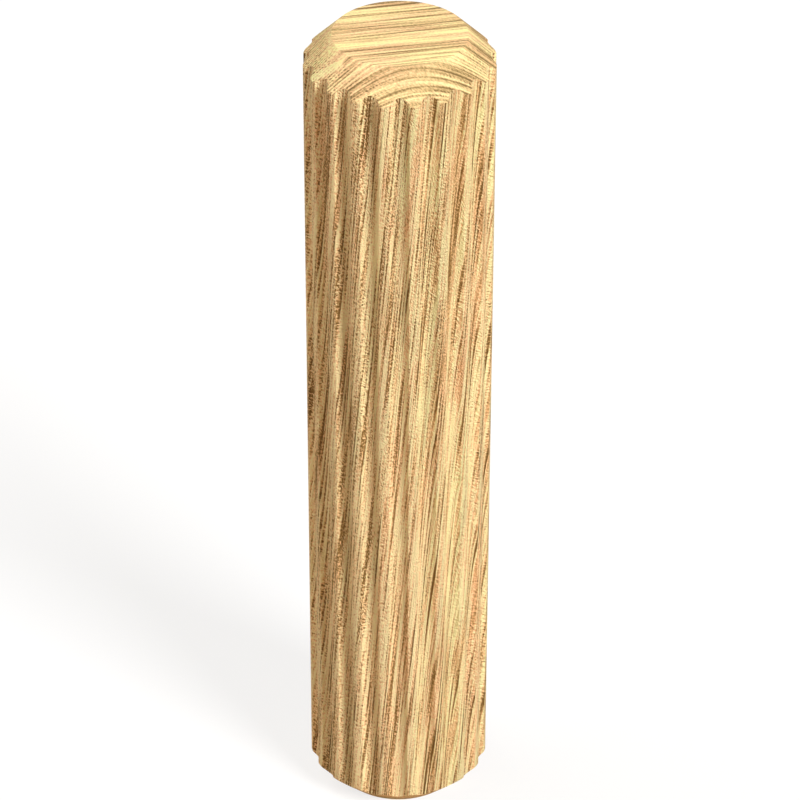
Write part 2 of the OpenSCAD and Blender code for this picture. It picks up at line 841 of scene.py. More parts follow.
@dataclass(frozen=True)
class PoreRows:
    """Open pores that lie like beads on threads along the grain.

    Attributes:
        threads: the threads that the pores lie on.
        pitch: distance from pore to pore along a thread, in millimetres.
        stagger: how many pitches one thread may be moved against the next.
        slant: how many pitches a pore climbs from one edge of its thread to
            the other.
        uneven: noise that crowds and parts the pores along a thread.
        uneven_by: how many pitches it may move them.
        bead: which part of each pitch the pore fills.
        crowd: where more pores are open, and fewer.
        crowd_by: weight of that beside a thread's own number.
        opens: the sum past which a thread's pores are open.
        pore_at: middle of a pore across its thread.
        pore_edge: how a pore fades with the distance from its middle.
        lip_at: middle of its raised lip.
        lip_edge: how the lip fades.
        depth: how deep each pore is, by its own random number.
        runs: how far a thread is one long groove instead of pores.
        torn: where the wood is torn.
        torn_edge: how a torn patch is drawn out from the noise.
    """

    threads: Strips = Strips(190, 0.11, 11.0)
    pitch: float = 0.135
    stagger: float = 3.0
    slant: float = 0.5
    uneven: Noise = Noise((3.0, 3.0, 1.3), 1.0, offset=(1.0, 8.0, 6.0))
    uneven_by: float = 2.2
    bead: Span = Span(-0.5, 0.6, smooth=True)
    crowd: Noise = Noise((1.3, 1.3, 0.055), 1.0, offset=(6.0, 6.0, 2.0))
    crowd_by: float = 0.8
    opens: Span = Span(0.50, 0.64)
    pore_at: float = 0.42
    pore_edge: Span = Span(0.12, 0.30, 1.0, 0.0, smooth=True)
    lip_at: float = 0.80
    lip_edge: Span = Span(0.08, 0.24, 1.0, 0.0, smooth=True)
    depth: Span = Span(0.0, 0.8, 0.3, 1.0)
    runs: Span = Span(-0.12, 0.14, 0.10, 0.75)
    torn: Noise = Noise((1.7, 1.7, 0.075), 1.0, offset=(3.0, 4.0, 9.0))
    torn_edge: Span = Span(0.53, 0.60, smooth=True)

    def build(self) -> Tree:
        """Builds the group that gives the pores and the torn patches.

        Returns:
            The node group.
        """
        made = EffectGroup(
            "pore rows",
            {
                "Fibre Place": Kind.PLACE,
                "Turns": Kind.NUMBER,
                "Up": Kind.NUMBER,
                "Plenty": Kind.NUMBER,
            },
            {"Pores": Kind.NUMBER, "Lips": Kind.NUMBER, "Patch": Kind.NUMBER},
        )
        desk, fibre = made.desk, made.take("Fibre Place")
        turns, up = made.take("Turns"), made.take("Up")
        inside, plenty, shift, groove = desk.strips(turns, up, self.threads)
        along = desk.sum(
            desk.times(up, 1.0 / self.pitch),
            desk.times(shift, self.stagger),
            desk.times(inside, self.slant),
            desk.times(desk.noise(fibre, self.uneven), self.uneven_by),
        )
        beads = desk.spread(desk.math("SINE", desk.times(along, TAU)), self.bead)
        crowd = desk.times(desk.swing(fibre, self.crowd), self.crowd_by)
        opened = desk.spread(desk.sum(plenty, crowd, made.take("Plenty")), self.opens)
        number = desk.math("FLOOR", desk.times(turns, float(self.threads.count)))
        own = desk.lay(
            "ShaderNodeTexWhiteNoise",
            Vector=desk.place(desk.math("FLOOR", along), number, 0.0),
        )
        own.noise_dimensions = "2D"
        dotted = desk.times(beads, desk.spread(own.outputs["Value"], self.depth))
        run = desk.spread(groove, self.runs)
        strung = desk.sum(run, desk.times(dotted, desk.left_by(run)))

        def beside(at: float, edge: Span) -> Socket:
            """Gives the open pores' strength about one line of each thread."""
            near = desk.spread(desk.size(desk.sum(inside, -at)), edge)
            return desk.times(desk.times(near, strung), opened)

        return made.give(
            Pores=beside(self.pore_at, self.pore_edge),
            Lips=beside(self.lip_at, self.lip_edge),
            Patch=desk.spread(desk.noise(fibre, self.torn), self.torn_edge),
        )


@dataclass(frozen=True)
class RaisedFuzz:
    """Short torn fibres that stand up all over a cut surface.

    Attributes:
        dash_lean: slope at which the fibre ends lie to the fibres.
        nick_lean: slope of the nicks that run across them.
        dashes: the fibre ends.
        nicks: the nicks.
        contrast: how both are drawn out from their noise.
    """

    dash_lean: float = 0.40
    nick_lean: float = 0.80
    dashes: Noise = Noise((16.0, 8.5, 1.0), 1.0, 0.7)
    nicks: Noise = Noise((7.0, 9.5, 1.0), 1.0, offset=(3.0, 5.0, 0.0))
    contrast: Span = Span(0.34, 0.66, -0.5, 0.5)

    def build(self) -> Tree:
        """Builds the group that gives the fibre ends and the nicks at a place.

        Returns:
            The node group.
        """
        made = EffectGroup(
            "raised fuzz",
            {"Across": Kind.NUMBER, "Up": Kind.NUMBER},
            {"Dashes": Kind.NUMBER, "Nicks": Kind.NUMBER},
        )
        desk, across, up = made.desk, made.take("Across"), made.take("Up")
        leant = desk.math("MULTIPLY_ADD", up, self.dash_lean, across)
        climbing = desk.math("MULTIPLY_ADD", across, self.nick_lean, up)
        dashes = desk.noise(desk.place(leant, up, 0.0), self.dashes)
        nicks = desk.noise(desk.place(across, climbing, 0.0), self.nicks)
        return made.give(
            Dashes=desk.spread(dashes, self.contrast),
            Nicks=desk.spread(nicks, self.contrast),
        )


@dataclass(frozen=True)
class WoodEffects:
    """The wood's node groups, built once and placed in each finish.

    Attributes:
        side_tones: colours of the wood cut along the fibres.
        end_tones: colours of the wood cut across them.
        bands: the growth bands.
        lay: how the fibres lie on the side.
        fibres: the long grain.
        pores: the open pores.
        fuzz: the raised fuzz.
    """

    side_tones: Tree = field(default_factory=SIDE_TONES.build)
    end_tones: Tree = field(default_factory=END_TONES.build)
    bands: Tree = field(default_factory=GrowthBands().build)
    lay: Tree = field(default_factory=FibreLay().build)
    fibres: Tree = field(default_factory=LongFibres().build)
    pores: Tree = field(default_factory=PoreRows().build)
    fuzz: Tree = field(default_factory=RaisedFuzz().build)


# --------------------------------------------------------------------------
# Finishes
# --------------------------------------------------------------------------


@dataclass(frozen=True)
class WoodFinish:
    """What every cut of the bare wood has in common.

    Attributes:
        name: the material's name.
        relief_mm: height that a relief of 1 stands for.
        sheen: how strong the plain reflection is.
        rough: roughness from the dark tones to the pale ones.
    """

    name: str
    relief_mm: float
    sheen: float = 0.25
    rough: Span = Span(0.2, 0.9, 0.82, 0.62)

    def build(self, effects: WoodEffects) -> bpy.types.Material:
        """Builds the material.

        Args:
            effects: the wood's shared node groups.

        Returns:
            The material.
        """
        material = bpy.data.materials.new(self.name)
        material.use_nodes = True
        material.node_tree.nodes.clear()
        desk = NodeDesk(material.node_tree)
        coords = desk.lay("ShaderNodeTexCoord")
        place = desk.scaled(coords.outputs["Object"], (1.0 / MM,) * 3)
        colour, tone, height = self.paint(desk, effects, place)
        bump = desk.lay(
            "ShaderNodeBump", Strength=1.0, Distance=self.relief_mm * MM, Height=height
        )
        shader = desk.lay(
            "ShaderNodeBsdfPrincipled",
            Base_Color=colour,
            Roughness=desk.spread(tone, self.rough),
            Specular_IOR_Level=self.sheen,
            Normal=bump.outputs["Normal"],
        )
        desk.lay("ShaderNodeOutputMaterial", Surface=shader.outputs["BSDF"])
        return material

    def paint(
        self, desk: NodeDesk, effects: WoodEffects, place: Socket
    ) -> tuple[Socket, Socket, Socket]:
        """Works out what the cut looks like, which each finish does in its own way.

        Args:
            desk: the material's desk.
            effects: the wood's shared node groups.
            place: the place on the pin, in millimetres.

        Returns:
            The colour, the tone that it comes from, and the relief.
        """
        raise NotImplementedError


@dataclass(frozen=True)
class LongGrain(WoodFinish):
    """The fluted side, cut along the fibres.

    What is given "from left to right" is a span of places along X.

    Attributes:
        middle: tone of the plain wood.
        darkest: darkest tone that a strip may have.
        painted_shade_palest: palest tone that a strip may have, from left to
        right, held lower on the shaded left as painted shade.
        broad: strength of the broad waves.
        strips: strength of the strips.
        fine: strength of the threads.
        plenty: how many pores are open.
        contrast: strength of the whole grain at the middle.
        painted_shade_contrast_slope: how that changes with each millimetre to
        the right; it deepens the grain towards the shaded left as painted
        shade.
        front_contrast: how much stronger it is near the middle, to each side.
        nicks_shown: how far the nicks show outside the torn patches.
        nicks_torn: how much more they show inside.
        dashes_shown: how far the fibre ends show outside the torn patches.
        dashes_torn: how much more they show inside.
        pore_tone: what an open pore adds to the tone.
        lip_tone: what its lip adds.
        nick_tone: what the nicks add.
        dash_tone: what the fibre ends add, from left to right; they are
        stronger towards the shaded left as painted shade.
        torn_tone: what a torn patch adds.
        painted_shade_warmth_by_side: painted shade: how much warmer the wood is
            made towards the shaded left, from left to right.
        tones_under_painted_shade: the tones that this painted shade warmth
            shows in.
        pore_relief: how high a pore stands, so below nought.
        nick_relief: how high the nicks stand.
        dash_relief: how high the fibre ends stand.
    """

    name: str = "long_grain"
    relief_mm: float = 0.11
    middle: float = 0.850
    darkest: float = 0.38
    painted_shade_palest: Span = Span(-2.0, 0.5, 0.90, 0.97)
    broad: float = 0.50
    strips: float = 1.08
    fine: float = 1.8
    plenty: float = 0.56
    contrast: float = 1.02
    painted_shade_contrast_slope: float = -0.02
    front_contrast: Span = Span(0.8, 2.4, 1.20, 1.0)
    nicks_shown: float = 0.35
    nicks_torn: float = 0.6
    dashes_shown: float = 0.9
    dashes_torn: float = 0.3
    pore_tone: float = -0.64
    lip_tone: float = 0.56
    nick_tone: float = 0.30
    dash_tone: Span = Span(-3.4, 1.5, 1.0, 0.50)
    torn_tone: float = -0.06
    painted_shade_warmth_by_side: Span = Span(-3.2, 2.8, 0.8, 0.0)
    tones_under_painted_shade: Span = Span(0.5, 0.85)
    pore_relief: float = -0.5
    nick_relief: float = 0.30
    dash_relief: float = 0.40

    def paint(
        self, desk: NodeDesk, effects: WoodEffects, place: Socket
    ) -> tuple[Socket, Socket, Socket]:
        """Lays strips, threads, pores and fuzz over the plain wood.

        Args:
            desk: the material's desk.
            effects: the wood's shared node groups.
            place: the place on the pin, in millimetres.

        Returns:
            The colour, the tone that it comes from, and the relief.
        """
        side = desk.part(place, X)
        lay = desk.group(effects.lay, Place=place)
        where = {name: lay.outputs[name] for name in ("Fibre Place", "Turns", "Up")}
        fibres = desk.group(
            effects.fibres, Broad=self.broad, Strips=self.strips, Fine=self.fine, **where
        )
        pores = desk.group(effects.pores, Plenty=self.plenty, **where)
        fuzz = desk.group(
            effects.fuzz, Across=lay.outputs["Across"], Up=lay.outputs["Up"]
        )
        patch = pores.outputs["Patch"]
        nicks = desk.times(
            fuzz.outputs["Nicks"],
            desk.sum(self.nicks_shown, desk.times(patch, self.nicks_torn)),
        )
        dashes = desk.times(
            fuzz.outputs["Dashes"],
            desk.sum(self.dashes_shown, desk.times(patch, self.dashes_torn)),
        )
        marks = desk.sum(
            fibres.outputs["Threads"],
            desk.times(pores.outputs["Pores"], self.pore_tone),
            desk.times(pores.outputs["Lips"], self.lip_tone),
            desk.times(nicks, self.nick_tone),
            # Painted shade: the fibre ends are stronger towards the shaded left.
            desk.times(dashes, desk.spread(side, self.dash_tone)),
            desk.times(patch, self.torn_tone),
        )
        # Painted shade: the grain's contrast grows towards the shaded left.
        contrast = desk.times(
            desk.math("MULTIPLY_ADD", side, self.painted_shade_contrast_slope, self.contrast),
            desk.spread(desk.size(side), self.front_contrast),
        )
        strips = desk.sum(self.middle, desk.times(fibres.outputs["Tone"], contrast))
        # Painted shade: the palest strips are held darker towards the shaded left.
        strips = desk.math("MINIMUM", strips, desk.spread(side, self.painted_shade_palest))
        strips = desk.math("MAXIMUM", strips, self.darkest)
        tone = desk.sum(strips, desk.times(marks, contrast))
        # Painted shade: the pale tones are warmed towards the shaded left, where the
        # light is weak.
        shade_warmth_painted = desk.times(
            desk.spread(side, self.painted_shade_warmth_by_side), desk.spread(tone, self.tones_under_painted_shade)
        )
        warmth = desk.sum(fibres.outputs["Warmth"], shade_warmth_painted)
        coloured = desk.group(effects.side_tones, Tone=tone, Warmth=warmth)
        height = desk.sum(
            fibres.outputs["Relief"],
            desk.times(pores.outputs["Pores"], self.pore_relief),
            desk.times(nicks, self.nick_relief),
            desk.times(dashes, self.dash_relief),
        )
        return coloured.outputs["Colour"], tone, height


@dataclass(frozen=True)
class BandedGrain(WoodFinish):
    """A cut across the fibres, where the growth bands show.

    Attributes:
        line_strength: strength of the fine lines inside the bands.
        tone_shift: what is added to the tone everywhere.
        band_relief: how high the pale bands stand.
        dash_relief: how high the fibre ends stand.
    """

    line_strength: float = 1.0
    tone_shift: float = 0.0
    band_relief: float = 0.5
    dash_relief: float = 0.3

    def _lay_bands(
        self, desk: NodeDesk, effects: WoodEffects, place: Socket
    ) -> tuple[Node, Node]:
        """Lays the growth bands, and the raised fuzz that follows them.

        Args:
            desk: the material's desk.
            effects: the wood's shared node groups.
            place: the place on the pin, in millimetres.

        Returns:
            The bands' node and the fuzz's.
        """
        bands = desk.group(effects.bands, Place=place, Line_Strength=self.line_strength)
        laid = bands.outputs["Band Place"]
        fuzz = desk.group(effects.fuzz, Across=desk.part(laid, Y), Up=desk.part(laid, X))
        return bands, fuzz


@dataclass(frozen=True)
class EndGrain(BandedGrain):
    """The flat end faces, cut straight across the fibres.

    Attributes:
        dash_tone: what the fibre ends add to the tone.
    """

    name: str = "end_grain"
    relief_mm: float = 0.03
    line_strength: float = 2.1
    tone_shift: float = -0.070
    dash_tone: float = 0.30

    def paint(
        self, desk: NodeDesk, effects: WoodEffects, place: Socket
    ) -> tuple[Socket, Socket, Socket]:
        """Lays the growth bands with the fibre ends over them.

        Args:
            desk: the material's desk.
            effects: the wood's shared node groups.
            place: the place on the pin, in millimetres.

        Returns:
            The colour, the tone that it comes from, and the relief.
        """
        bands, fuzz = self._lay_bands(desk, effects, place)
        banded, dashes = bands.outputs["Tone"], fuzz.outputs["Dashes"]
        tone = desk.sum(banded, desk.times(dashes, self.dash_tone), self.tone_shift)
        coloured = desk.group(
            effects.end_tones, Tone=tone, Warmth=bands.outputs["Warmth"]
        )
        height = desk.sum(
            desk.times(banded, self.band_relief), desk.times(dashes, self.dash_relief)
        )
        return coloured.outputs["Colour"], tone, height


@dataclass(frozen=True)
class ChamferGrain(BandedGrain):
    """The chamfers, cut slantwise so that the bands show with open pores.

    What is given "from left to right" is a span of places along X, and what is
    given "to each side" a span of distances along it.

    Attributes:
        turn_mm: length that the pores' rows take for a whole turn.
        plenty: how many pores are open, to each side.
        opened_out: how open they are, from the rim outwards.
        opened_side: how open they are, to each side.
        plain: how far the left is plain wood instead of bands, from left to
            right.
        plain_tone: tone of that plain wood.
        streak_at: how far in front of the middle a pale streak lies, on the
            left of the upper chamfer.
        streak_slope: how it slopes forwards with each millimetre to the right.
        streak_edge: how it fades with the distance from its line.
        streak_end: how it ends, from left to right.
        streak_height: the heights that it shows at, which leave the lower
            chamfer without it.
        pore_tone: what an open pore adds to the tone.
        streak_tone: what the streak adds.
        nick_tone: what the nicks add.
        dash_tone: what the fibre ends add, from left to right.
        pore_relief: how high a pore stands, so below nought.
    """

    name: str = "chamfer_grain"
    relief_mm: float = 0.05
    line_strength: float = 1.3
    tone_shift: float = -0.13
    band_relief: float = 0.08
    turn_mm: float = 25.1
    plenty: Span = Span(0.8, 2.4, 0.52, 0.72)
    opened_out: Span = Span(2.85, 3.30)
    opened_side: Span = Span(0.4, 2.0, 0.65, 1.0)
    plain: Span = Span(-2.6, -2.1, 0.85, 0.0)
    plain_tone: float = 0.96
    streak_at: float = 2.59
    streak_slope: float = 0.25
    streak_edge: Span = Span(0.12, 0.20, 1.0, 0.0)
    streak_end: Span = Span(-2.35, -2.20, 1.0, 0.0)
    streak_height: Span = Span(18.0, 20.0)
    pore_tone: float = -0.62
    streak_tone: float = 0.42
    nick_tone: float = 0.12
    dash_tone: Span = Span(-2.8, -2.2, 0.60, 0.34)
    pore_relief: float = -0.6

    def paint(
        self, desk: NodeDesk, effects: WoodEffects, place: Socket
    ) -> tuple[Socket, Socket, Socket]:
        """Lays the growth bands with pores, a pale streak and fuzz over them.

        Args:
            desk: the material's desk.
            effects: the wood's shared node groups.
            place: the place on the pin, in millimetres.

        Returns:
            The colour, the tone that it comes from, and the relief.
        """
        side = desk.part(place, X)
        aside = desk.size(side)
        bands, fuzz = self._lay_bands(desk, effects, place)
        along, across, up = (desk.part(bands.outputs["Band Place"], n) for n in (X, Y, Z))
        pores = desk.group(
            effects.pores,
            Fibre_Place=desk.place(across, up, along),
            Turns=desk.times(across, 1.0 / self.turn_mm),
            Up=along,
            Plenty=desk.spread(aside, self.plenty),
        )
        out = desk.vector("LENGTH", desk.flattened(place))
        opened = desk.times(
            desk.spread(out, self.opened_out), desk.spread(aside, self.opened_side)
        )
        shown = desk.times(pores.outputs["Pores"], opened)
        plain = desk.spread(side, self.plain)
        banded = desk.sum(
            desk.times(bands.outputs["Tone"], desk.left_by(plain)),
            desk.times(plain, self.plain_tone),
        )
        tone = desk.sum(
            banded,
            desk.times(shown, self.pore_tone),
            desk.times(self._lay_streak(desk, place), self.streak_tone),
            desk.times(fuzz.outputs["Nicks"], self.nick_tone),
            desk.times(fuzz.outputs["Dashes"], desk.spread(side, self.dash_tone)),
            self.tone_shift,
        )
        coloured = desk.group(
            effects.end_tones, Tone=tone, Warmth=bands.outputs["Warmth"]
        )
        height = desk.sum(
            desk.times(banded, self.band_relief),
            desk.times(shown, self.pore_relief),
            desk.times(fuzz.outputs["Dashes"], self.dash_relief),
        )
        return coloured.outputs["Colour"], tone, height

    def _lay_streak(self, desk: NodeDesk, place: Socket) -> Socket:
        """Lays the pale streak.

        Args:
            desk: the material's desk.
            place: the place on the pin, in millimetres.

        Returns:
            How far a place is in the streak.
        """
        side, behind, up = (desk.part(place, n) for n in (X, Y, Z))
        from_line = desk.sum(behind, desk.times(side, self.streak_slope), self.streak_at)
        return desk.times(
            desk.spread(desk.size(from_line), self.streak_edge),
            desk.times(
                desk.spread(side, self.streak_end), desk.spread(up, self.streak_height)
            ),
        )


# --------------------------------------------------------------------------
# The pin
# --------------------------------------------------------------------------


class Cut(Enum):
    """The three ways in which the pin's wood is cut, in material slot order."""

    SIDE = 0
    CHAMFER = 1
    END = 2

    @classmethod
    def of(cls, normal: Vector) -> "Cut":
        """Tells how a face is cut from the way it is turned.

        Args:
            normal: the way the face points.

        Returns:
            The cut that is turned most like it.
        """
        halfway = math.radians(22.5)  # between level or upright and the chamfer
        rise = abs(normal.z)
        if rise > math.cos(halfway):
            return cls.END
        return cls.CHAMFER if rise > math.sin(halfway) else cls.SIDE


@dataclass(frozen=True)
class FluteSection:
    """Section of one flute and the half land on each side of it.

    Attributes:
        land_r: radius over the lands.
        depth: depth of the flute below the lands.
        tool_r: radius of the round tool that cuts the flute.
        edge_r: radius of the eased edge between the flute and a land.
        count: number of flutes around the pin.
        wall_steps: columns from the flute's middle to the end of its wall.
        edge_steps: columns round the eased edge.
        land_steps: columns from the eased edge to the land's middle.
    """

    land_r: float = 4.0 * MM
    depth: float = 0.30 * MM
    tool_r: float = 0.45 * MM
    edge_r: float = 0.08 * MM
    count: int = 20
    wall_steps: int = 8
    edge_steps: int = 4
    land_steps: int = 2

    @property
    def columns(self) -> int:
        """Columns all the way round the pin."""
        return 2 * (self.wall_steps + self.edge_steps + self.land_steps) * self.count

    def half_outline(self) -> list[tuple[float, float]]:
        """Works out the columns from a flute's middle to a land's middle.

        Returns:
            Each column's radius and its angle from the flute's middle.
        """
        tool = Vector((self.land_r - self.depth + self.tool_r, 0.0))
        edge_at = self.land_r - self.edge_r
        edge_a = math.acos(
            (edge_at**2 + tool.x**2 - (self.tool_r + self.edge_r) ** 2)
            / (2.0 * edge_at * tool.x)
        )
        edge = Vector((edge_at * math.cos(edge_a), edge_at * math.sin(edge_a)))
        to_edge = edge - tool
        wall_end = math.pi - math.atan2(to_edge.y, to_edge.x)
        wall = (i / self.wall_steps * wall_end for i in range(self.wall_steps + 1))
        spots = [tool + self.tool_r * Vector((-math.cos(a), math.sin(a))) for a in wall]
        start = math.atan2(-to_edge.y, -to_edge.x)
        turn = (edge_a - start) % TAU
        ease = (start + turn * i / self.edge_steps for i in range(1, self.edge_steps + 1))
        spots += [edge + self.edge_r * Vector((math.cos(a), math.sin(a))) for a in ease]
        outline = [(spot.length, math.atan2(spot.y, spot.x)) for spot in spots]
        last = outline[-1][1]
        to_middle = math.pi / self.count - last
        outline += [
            (self.land_r, last + to_middle * i / self.land_steps)
            for i in range(1, self.land_steps + 1)
        ]
        return outline


@dataclass
class DowelPin:
    """The fluted wooden pin, in one piece.

    The upper half is modelled: a ring is pressed to the flutes' section, raised
    to the chamfer, drawn in to the end face and closed. The lower half is its
    mirror image. Every vertex has a ring number and a column number. Columns
    are counted from the middle of the nearest flute, so they repeat from flute
    to flute, with a minus sign on its one side.

    Attributes:
        section: section of its flutes and lands.
        length: from end face to end face.
        chamfer_len: how far each chamfer runs along the pin.
        chamfer_in: how far each chamfer cuts in from the lands.
        rim_round: radius that is asked for at the rim of each end face, of which
            little is made, as _ease_edges tells.
        rim_steps: steps in that rounding.
        scallop_ease: how far the edge between side and chamfer is asked to be
            eased.
        scallop_steps: steps in that easing.
        side_rows: rows of faces along half of the side.
        chamfer_rows: rows of faces down a chamfer.
        face_rings: shares of the end face's radius at which it has a ring.
        smooth_deg: edges that bend less than this are shaded smooth.
        weld: vertices nearer than this are joined where the halves meet.
        piece: the pin's object, once it is laid.
    """

    section: FluteSection = field(default_factory=FluteSection)
    length: float = 38.0 * MM
    chamfer_len: float = 1.2 * MM
    chamfer_in: float = 1.2 * MM
    rim_round: float = 0.3 * MM
    rim_steps: int = 4
    scallop_ease: float = 0.03 * MM
    scallop_steps: int = 2
    side_rows: int = 18
    chamfer_rows: int = 4
    face_rings: tuple[float, ...] = (0.80, 0.55, 0.28)
    smooth_deg: float = 34.0
    weld: float = 0.0001 * MM
    piece: Optional[bpy.types.Object] = None

    @property
    def middle(self) -> float:
        """Height of the pin's middle, where its two halves meet."""
        return self.length / 2.0

    @property
    def face_r(self) -> float:
        """Radius at which a chamfer would meet its end face."""
        return self.section.land_r - self.chamfer_in

    @property
    def slope(self) -> float:
        """How far a chamfer runs along the pin for each length that it cuts in."""
        return self.chamfer_len / self.chamfer_in

    @property
    def rim_reach(self) -> float:
        """How far the rim's rounding is to reach over the face and the chamfer."""
        return self.rim_round * math.tan(math.atan(self.slope) / 2.0)

    def build(self) -> bpy.types.Object:
        """Models the pin.

        Returns:
            The finished piece, with its object at the origin.
        """
        self._lay_ring()
        self._press_flutes()
        self._raise_side()
        self._draw_in_chamfer()
        self._close_face()
        self._divide_rows()
        self._ease_edges()
        self._mirror_lower_half()
        return self.piece

    def dress(self, finishes: Sequence[bpy.types.Material]) -> None:
        """Gives each face the finish of its cut, told by how it is turned.

        Args:
            finishes: materials in the order of Cut.
        """
        mesh = self.piece.data
        mesh.materials.clear()
        for finish in finishes:
            mesh.materials.append(finish)
        for face in mesh.polygons:
            face.material_index = Cut.of(face.normal).value

    # Picking ---------------------------------------------------------------

    def _open(self) -> bmesh.types.BMesh:
        """Gives the mesh that is open in edit mode."""
        return bmesh.from_edit_mesh(self.piece.data)

    def _pick_verts(self, ring: int, columns: Iterable[int]) -> None:
        """Selects the vertices of some columns of one ring, and nothing else.

        Args:
            ring: the ring's number.
            columns: numbers of the columns.
        """
        mesh, wanted = self._open(), set(columns)
        ring_tag, column_tag = (mesh.verts.layers.int[n] for n in ("ring", "column"))
        bpy.ops.mesh.select_mode(type="VERT")
        bpy.ops.mesh.select_all(action="DESELECT")
        for vert in mesh.verts:
            vert.select = vert[ring_tag] == ring and vert[column_tag] in wanted
        mesh.select_flush_mode()
        bmesh.update_edit_mesh(self.piece.data)

    def _pick_edges(self, low: int, high: int) -> None:
        """Selects the edges from one ring to another, and nothing else.

        Args:
            low: the lower ring's number.
            high: the higher ring's number, or the same for the edges round it.
        """
        mesh = self._open()
        tag = mesh.verts.layers.int["ring"]
        bpy.ops.mesh.select_mode(type="EDGE")
        bpy.ops.mesh.select_all(action="DESELECT")
        for edge in mesh.edges:
            edge.select = sorted(v[tag] for v in edge.verts) == [low, high]
        mesh.select_flush_mode()
        bmesh.update_edit_mesh(self.piece.data)

    def _raise_ring(self, ring: int, height: float) -> None:
        """Extrudes the newest ring upwards, and tags what that makes.

        Args:
            ring: the new ring's number.
            height: how far up it goes.
        """
        self._pick_edges(ring - 1, ring - 1)
        bpy.ops.mesh.extrude_edges_move(
            TRANSFORM_OT_translate={"value": (0.0, 0.0, height)}
        )
        mesh = self._open()
        tag = mesh.verts.layers.int["ring"]
        for vert in mesh.verts:
            if vert.select:
                vert[tag] = ring
        bmesh.update_edit_mesh(self.piece.data)

    @staticmethod
    def _alike(number: int) -> tuple[int, ...]:
        """Gives the columns that mirror each other on both sides of a flute."""
        return (number,) if number == 0 else (-number, number)

    @staticmethod
    def _shrink(share: float, height: float) -> None:
        """Draws what is selected in towards the pin's axis.

        Args:
            share: what is left of its distance from the axis.
            height: height that it is drawn in at.
        """
        bpy.ops.transform.resize(
            value=(share, share, 1.0), center_override=(0.0, 0.0, height)
        )

    # Steps -----------------------------------------------------------------

    def _lay_ring(self) -> None:
        """Lays an evenly divided ring over the lands, at mid length."""
        bpy.ops.object.select_all(action="DESELECT")
        bpy.ops.mesh.primitive_circle_add(
            vertices=self.section.columns,
            radius=self.section.land_r,
            fill_type="NOTHING",
            location=(0.0, 0.0, self.middle),
        )
        self.piece = bpy.context.object
        self.piece.name = self.piece.data.name = "fluted_pin"
        bpy.ops.object.mode_set(mode="EDIT")
        mesh = self._open()
        ring_tag = mesh.verts.layers.int.new("ring")
        column_tag = mesh.verts.layers.int.new("column")
        pitch, step = TAU / self.section.count, TAU / self.section.columns
        for vert in mesh.verts:
            angle = math.atan2(vert.co.x, -vert.co.y)
            off = (angle + pitch / 2.0) % pitch - pitch / 2.0
            vert[ring_tag] = MIDDLE_RING
            vert[column_tag] = round(off / step)
        bmesh.update_edit_mesh(self.piece.data)

    def _press_flutes(self) -> None:
        """Moves each column of the ring to its place on the section."""
        step = TAU / self.section.columns
        for number, (radius, angle) in enumerate(self.section.half_outline()):
            turn = angle - number * step
            if abs(turn) > LEAST_TURN:
                for column in self._alike(number):
                    self._pick_verts(MIDDLE_RING, [column])
                    bpy.ops.transform.rotate(
                        value=math.copysign(turn, column) * ROTATE_WAY,
                        orient_axis="Z",
                        center_override=(0.0, 0.0, self.middle),
                    )
            if radius < self.section.land_r:
                self._pick_verts(MIDDLE_RING, self._alike(number))
                self._shrink(radius / self.section.land_r, self.middle)

    def _raise_side(self) -> None:
        """Raises the ring to the chamfer, higher where a flute is deeper."""
        self._raise_ring(SHOULDER_RING, self.middle - self.chamfer_len)
        for number, (radius, _) in enumerate(self.section.half_outline()):
            rise = (self.section.land_r - radius) * self.slope
            if rise > 0.0:
                self._pick_verts(SHOULDER_RING, self._alike(number))
                bpy.ops.transform.translate(value=(0.0, 0.0, rise))

    def _draw_in_chamfer(self) -> None:
        """Draws a new ring in along the cone to the rim of the end face."""
        self._raise_ring(RIM_RING, 0.0)
        for number, (radius, _) in enumerate(self.section.half_outline()):
            self._pick_verts(RIM_RING, self._alike(number))
            self._shrink(self.face_r / radius, self.length)
            rise = (radius - self.face_r) * self.slope
            bpy.ops.transform.translate(value=(0.0, 0.0, rise))

    def _close_face(self) -> None:
        """Draws rings in over the end face and joins the last at its middle."""
        ring, last = RIM_RING, 1.0
        for share in self.face_rings:
            ring += 1
            self._raise_ring(ring, 0.0)
            self._shrink(share / last, self.length)
            last = share
        self._raise_ring(ring + 1, 0.0)
        bpy.ops.mesh.merge(type="CENTER")

    def _divide_rows(self) -> None:
        """Divides the side and the chamfer into even rows."""
        for ring, rows in (
            (MIDDLE_RING, self.side_rows),
            (SHOULDER_RING, self.chamfer_rows),
        ):
            self._pick_edges(ring, ring + 1)
            bpy.ops.mesh.subdivide(number_cuts=rows - 1)

    def _ease_edges(self) -> None:
        """Eases the rim of the face and the scallops along the side.

        Known fault: _divide_rows gives some of its new vertices the number of
        the ring beside them, so the picks here also catch edges near the rim
        and the scallops. Bevel then clamps its width to the short ones among
        them, which leaves the rim all but sharp, and the mesh comes out a
        little different on each run. Easing before dividing picks each ring
        alone.
        """
        for ring, reach, steps in (
            (RIM_RING, self.rim_reach, self.rim_steps),
            (SHOULDER_RING, self.scallop_ease, self.scallop_steps),
        ):
            self._pick_edges(ring, ring)
            bpy.ops.mesh.bevel(
                offset_type="OFFSET",
                offset=reach,
                segments=steps,
                profile=0.5,
                affect="EDGES",
                clamp_overlap=True,
            )
        bpy.ops.object.mode_set(mode="OBJECT")

